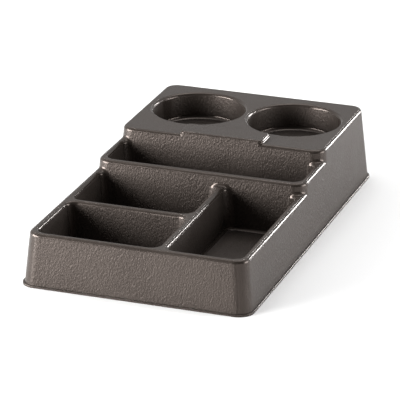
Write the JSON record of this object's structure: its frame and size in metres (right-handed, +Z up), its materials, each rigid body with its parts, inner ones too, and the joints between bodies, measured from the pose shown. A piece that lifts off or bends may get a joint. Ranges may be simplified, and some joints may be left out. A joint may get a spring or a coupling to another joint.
{
  "type": "stepped counter tray",
  "caption": "Formed plastic counter tray with three rising decks, rectangular pockets, a long slot, round wells and a raised label pad, on rubber feet.",
  "frame": {"origin": "centre of the footprint on the table plane", "axes": "+Z up, -Y towards the low front deck, +Y towards the high rear deck, +X to the right seen from the front"},
  "size_m": [0.23, 0.403, 0.0789],
  "materials": {
    "shell_plastic": "fine leather grain, satin on the rounded edges",
    "foot_rubber": "matt"
  },
  "bodies": {
    "root": {"tray_shell": "shell_plastic", "foot_front_left": "foot_rubber", "foot_front_right": "foot_rubber", "foot_middle_left": "foot_rubber", "foot_middle_right": "foot_rubber", "foot_rear_left": "foot_rubber", "foot_rear_right": "foot_rubber"}
  },
  "joints": []
}
